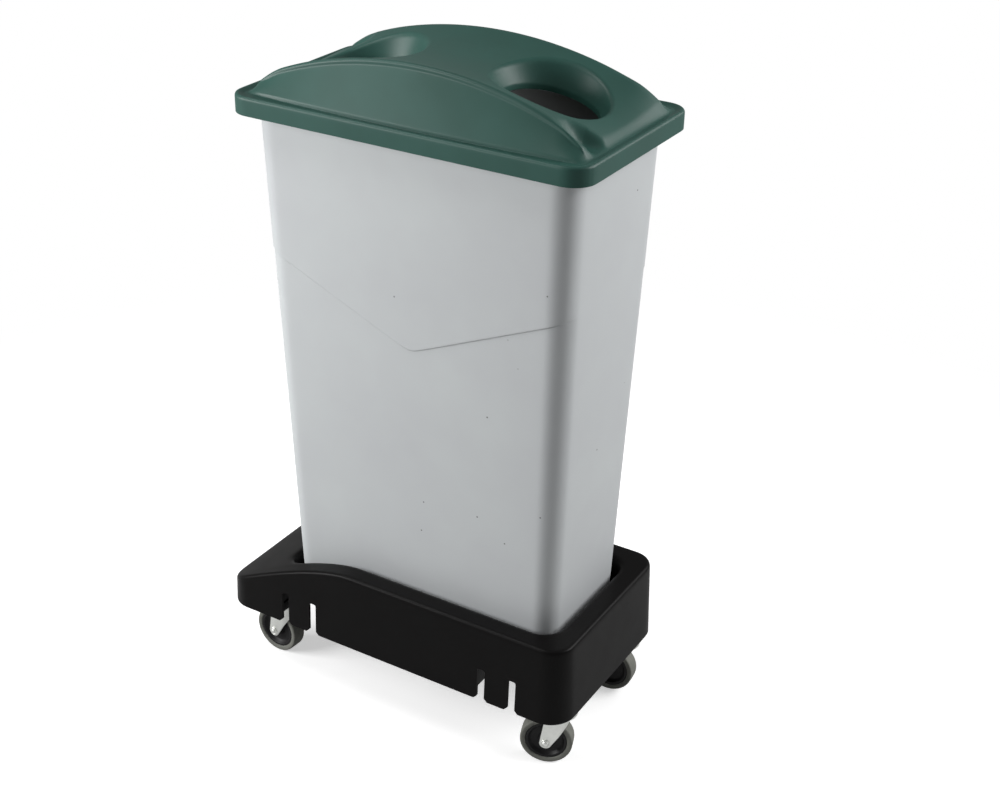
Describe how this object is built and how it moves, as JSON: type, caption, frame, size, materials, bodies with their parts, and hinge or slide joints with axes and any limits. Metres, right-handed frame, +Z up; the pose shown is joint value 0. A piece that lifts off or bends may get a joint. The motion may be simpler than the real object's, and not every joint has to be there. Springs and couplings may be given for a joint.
{
  "type": "recycling bin",
  "caption": "Tall slim recycling container with a domed lid that has round flared openings, standing in a moulded trolley on swivel casters.",
  "frame": {"origin": "on the floor, under the middle of the trolley", "axes": "+X along the bin to the front, away from the trolley's low end; +Y to the left; +Z up"},
  "size_m": [0.5764, 0.2958, 0.9594],
  "materials": {
    "container_plastic": "moulded light grey polyethylene, fine grain",
    "lid_plastic": "moulded dark green polyethylene, soft sheen",
    "dolly_plastic": "moulded black polypropylene, satin",
    "zinc_steel": "bright zinc-plated pressed steel",
    "tread_rubber": "grey non-marking rubber",
    "hub_plastic": "moulded black polypropylene",
    "bush_plastic": "natural acetal"
  },
  "bodies": {
    "dolly": {"dolly_base": "dolly_plastic", "caster_front_right_plate": "zinc_steel", "caster_front_right_kingpin": "zinc_steel", "caster_front_right_bolt_1": "zinc_steel", "caster_front_right_bolt_2": "zinc_steel", "caster_front_right_bolt_3": "zinc_steel", "caster_front_right_bolt_4": "zinc_steel", "caster_front_left_plate": "zinc_steel", "caster_front_left_kingpin": "zinc_steel", "caster_front_left_bolt_1": "zinc_steel", "caster_front_left_bolt_2": "zinc_steel", "caster_front_left_bolt_3": "zinc_steel", "caster_front_left_bolt_4": "zinc_steel", "caster_rear_right_plate": "zinc_steel", "caster_rear_right_kingpin": "zinc_steel", "caster_rear_right_bolt_1": "zinc_steel", "caster_rear_right_bolt_2": "zinc_steel", "caster_rear_right_bolt_3": "zinc_steel", "caster_rear_right_bolt_4": "zinc_steel", "caster_rear_left_plate": "zinc_steel", "caster_rear_left_kingpin": "zinc_steel", "caster_rear_left_bolt_1": "zinc_steel", "caster_rear_left_bolt_2": "zinc_steel", "caster_rear_left_bolt_3": "zinc_steel", "caster_rear_left_bolt_4": "zinc_steel"},
    "container": {"container_body": "container_plastic"},
    "lid": {"lid": "lid_plastic"},
    "front_right_fork": {"caster_front_right_ball_race": "zinc_steel", "caster_front_right_fork": "zinc_steel", "caster_front_right_axle_bolt": "zinc_steel", "caster_front_right_axle_nut": "zinc_steel", "caster_front_right_bush": "bush_plastic"},
    "front_right_wheel": {"caster_front_right_hub": "hub_plastic", "caster_front_right_tread": "tread_rubber"},
    "front_left_fork": {"caster_front_left_ball_race": "zinc_steel", "caster_front_left_fork": "zinc_steel", "caster_front_left_axle_bolt": "zinc_steel", "caster_front_left_axle_nut": "zinc_steel", "caster_front_left_bush": "bush_plastic"},
    "front_left_wheel": {"caster_front_left_hub": "hub_plastic", "caster_front_left_tread": "tread_rubber"},
    "rear_right_fork": {"caster_rear_right_ball_race": "zinc_steel", "caster_rear_right_fork": "zinc_steel", "caster_rear_right_axle_bolt": "zinc_steel", "caster_rear_right_axle_nut": "zinc_steel", "caster_rear_right_bush": "bush_plastic"},
    "rear_right_wheel": {"caster_rear_right_hub": "hub_plastic", "caster_rear_right_tread": "tread_rubber"},
    "rear_left_fork": {"caster_rear_left_ball_race": "zinc_steel", "caster_rear_left_fork": "zinc_steel", "caster_rear_left_axle_bolt": "zinc_steel", "caster_rear_left_axle_nut": "zinc_steel", "caster_rear_left_bush": "bush_plastic"},
    "rear_left_wheel": {"caster_rear_left_hub": "hub_plastic", "caster_rear_left_tread": "tread_rubber"}
  },
  "joints": [
    {"name": "container_lift", "type": "slide", "parent": "dolly", "child": "container", "axis": [0, 0, 1], "range_m": [0, 0.15]},
    {"name": "lid_lift", "type": "slide", "parent": "container", "child": "lid", "axis": [0, 0, 1], "range_m": [0, 0.1]},
    {"name": "front_right_swivel", "type": "hinge", "parent": "dolly", "child": "front_right_fork", "pos_m": [0.26024, -0.095, 0.1], "axis": [0, 0, 1], "continuous": true},
    {"name": "front_right_roll", "type": "hinge", "parent": "front_right_fork", "child": "front_right_wheel", "pos_m": [0.24333, -0.10116, 0.0375], "axis": [-0.342, 0.9397, 0], "continuous": true},
    {"name": "front_left_swivel", "type": "hinge", "parent": "dolly", "child": "front_left_fork", "pos_m": [0.26024, 0.095, 0.1], "axis": [0, 0, 1], "continuous": true},
    {"name": "front_left_roll", "type": "hinge", "parent": "front_left_fork", "child": "front_left_wheel", "pos_m": [0.24234, 0.09312, 0.0375], "axis": [-0.1045, 0.9945, 0], "continuous": true},
    {"name": "rear_right_swivel", "type": "hinge", "parent": "dolly", "child": "rear_right_fork", "pos_m": [-0.21264, -0.095, 0.1], "axis": [0, 0, 1], "continuous": true},
    {"name": "rear_right_roll", "type": "hinge", "parent": "rear_right_fork", "child": "rear_right_wheel", "pos_m": [-0.2306, -0.09374, 0.0375], "axis": [0.0698, 0.9976, 0], "continuous": true},
    {"name": "rear_left_swivel", "type": "hinge", "parent": "dolly", "child": "rear_left_fork", "pos_m": [-0.21264, 0.095, 0.1], "axis": [0, 0, 1], "continuous": true},
    {"name": "rear_left_roll", "type": "hinge", "parent": "rear_left_fork", "child": "rear_left_wheel", "pos_m": [-0.23037, 0.09187, 0.0375], "axis": [-0.1736, 0.9848, 0], "continuous": true}
  ]
}
